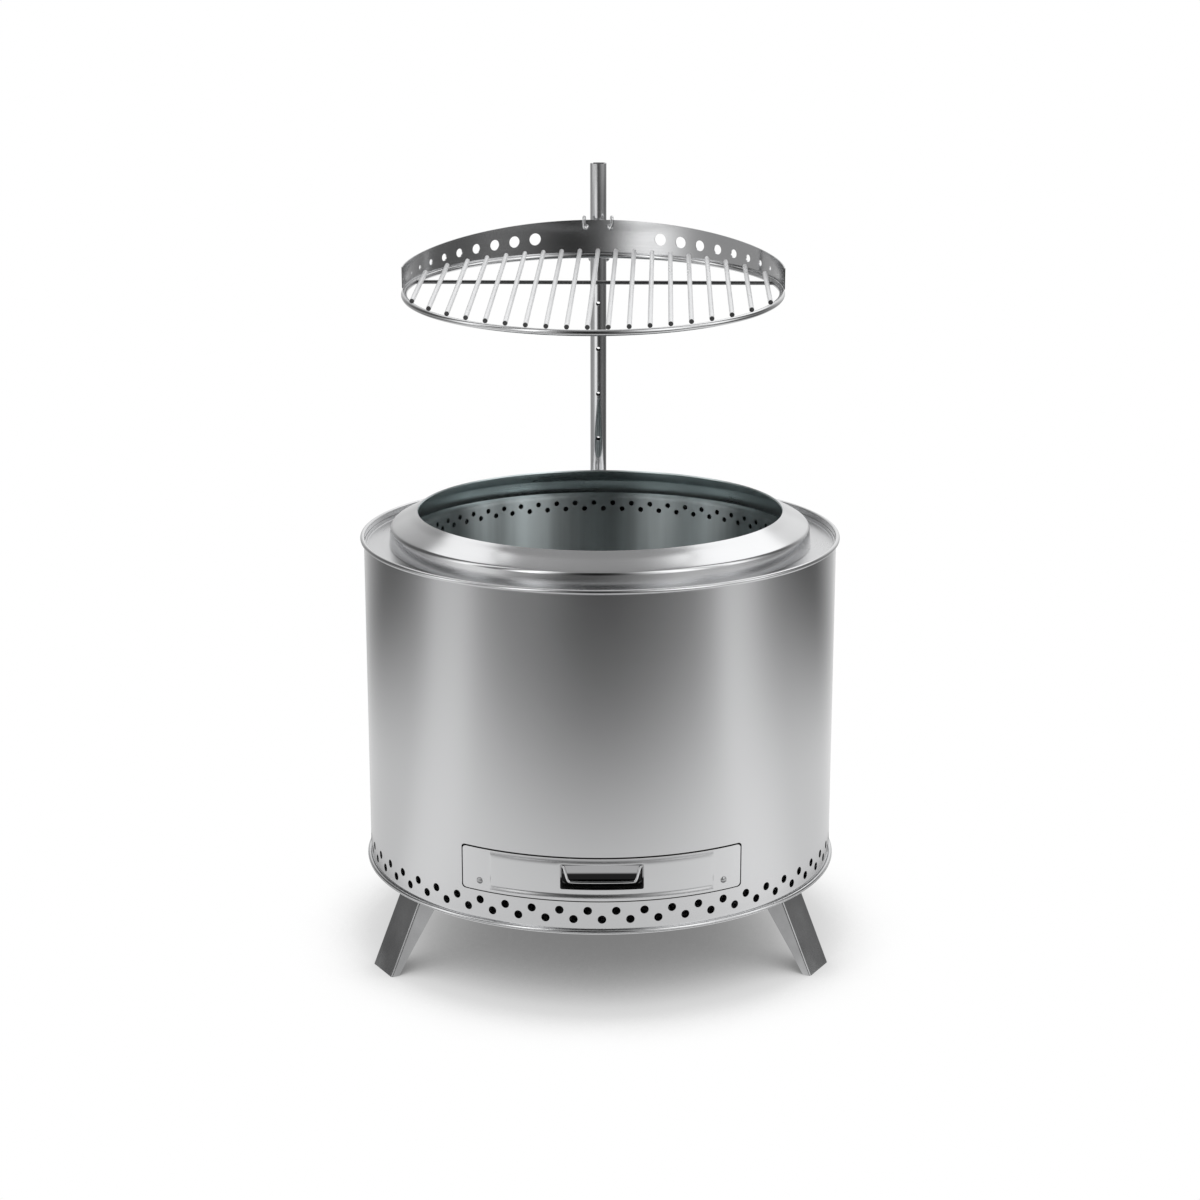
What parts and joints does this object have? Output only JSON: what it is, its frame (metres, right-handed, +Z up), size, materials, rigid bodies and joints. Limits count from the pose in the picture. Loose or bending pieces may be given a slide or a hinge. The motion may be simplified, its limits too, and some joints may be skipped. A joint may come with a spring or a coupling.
{
  "type": "fire pit",
  "caption": "Round double-walled wood fire pit on splayed legs, with a lift-off flame collar, a pull-out ash drawer and a cooking grate that swings and climbs on a post.",
  "frame": {"origin": "on the floor, under the middle of the footprint's box", "axes": "+Z up, -Y towards the drawer, +X to the right seen from the drawer"},
  "size_m": [0.6104, 0.63, 0.9753],
  "materials": {
    "drum_steel": "brushed round the drum, satin",
    "deck_steel": "brushed, satin",
    "inner_steel": "mill finish, slightly smoked",
    "collar_steel": "brushed round the collar, satin",
    "fire_grate_steel": "mill finish, heat darkened",
    "leg_steel": "satin",
    "screw_steel": "satin",
    "dish_black": "gloss black enamel",
    "bright_wire": "polished",
    "post_steel": "polished lengthwise",
    "carrier_steel": "satin",
    "knob_steel": "turned, satin",
    "band_steel": "satin",
    "bar_steel": "electropolished"
  },
  "bodies": {
    "base": {"outer_drum": "drum_steel", "top_deck": "deck_steel", "base_pan": "inner_steel", "fire_barrel": "inner_steel", "leg_right": "leg_steel", "leg_screw_right_1": "screw_steel", "leg_screw_right_2": "screw_steel", "leg_rear": "leg_steel", "leg_screw_rear_1": "screw_steel", "leg_screw_rear_2": "screw_steel", "leg_left": "leg_steel", "leg_screw_left_1": "screw_steel", "leg_screw_left_2": "screw_steel", "drawer_guide_left": "inner_steel", "drawer_guide_right": "inner_steel", "post_socket": "deck_steel", "socket_screw_left": "screw_steel", "socket_screw_right": "screw_steel"},
    "collar": {"flame_collar": "collar_steel"},
    "coal_grate": {"fire_grate": "fire_grate_steel"},
    "drawer": {"ash_pan": "inner_steel", "drawer_front": "drum_steel", "handle_dish": "dish_black", "drawer_rivet_left": "bright_wire", "drawer_rivet_right": "bright_wire"},
    "bail": {"handle_bail": "bright_wire"},
    "mast": {"post": "post_steel"},
    "cooking_grate": {"grate_carrier": "carrier_steel", "hook_left": "bright_wire", "hook_right": "bright_wire", "grate_ring": "bright_wire", "grate_band": "band_steel", "grate_brace": "band_steel", "grate_bar_01": "bar_steel", "grate_bar_02": "bar_steel", "grate_bar_03": "bar_steel", "grate_bar_04": "bar_steel", "grate_bar_05": "bar_steel", "grate_bar_06": "bar_steel", "grate_bar_07": "bar_steel", "grate_bar_08": "bar_steel", "grate_bar_09": "bar_steel", "grate_bar_10": "bar_steel", "grate_bar_11": "bar_steel", "grate_bar_12": "bar_steel", "grate_bar_13": "bar_steel", "grate_bar_14": "bar_steel", "grate_bar_15": "bar_steel", "grate_bar_16": "bar_steel", "grate_bar_17": "bar_steel", "grate_bar_18": "bar_steel", "grate_bar_19": "bar_steel"},
    "lock": {"lock_knob": "knob_steel"}
  },
  "joints": [
    {"name": "collar_lift", "type": "slide", "parent": "base", "child": "collar", "axis": [0, 0, 1], "range_m": [0, 0.2]},
    {"name": "coal_grate_lift", "type": "slide", "parent": "base", "child": "coal_grate", "axis": [0, 0, 1], "range_m": [0, 0.25]},
    {"name": "ash_drawer", "type": "slide", "parent": "base", "child": "drawer", "axis": [0, -1, 0], "range_m": [0, 0.3]},
    {"name": "bail_swing", "type": "hinge", "parent": "drawer", "child": "bail", "pos_m": [0, -0.3038, 0.1916], "axis": [-1, 0, 0], "range_deg": [-20, 90]},
    {"name": "post_swivel", "type": "hinge", "parent": "base", "child": "mast", "pos_m": [0, 0.2752, 0.5], "axis": [0, 0, 1], "continuous": true},
    {"name": "grate_height", "type": "slide", "parent": "mast", "child": "cooking_grate", "axis": [0, 0, 1], "range_m": [-0.2484, 0]},
    {"name": "lock_pull", "type": "slide", "parent": "cooking_grate", "child": "lock", "axis": [0.0332, 0.9995, 0], "range_m": [0, 0.008], "stiffness_N_per_m": 400, "springref_m": -0.01}
  ]
}
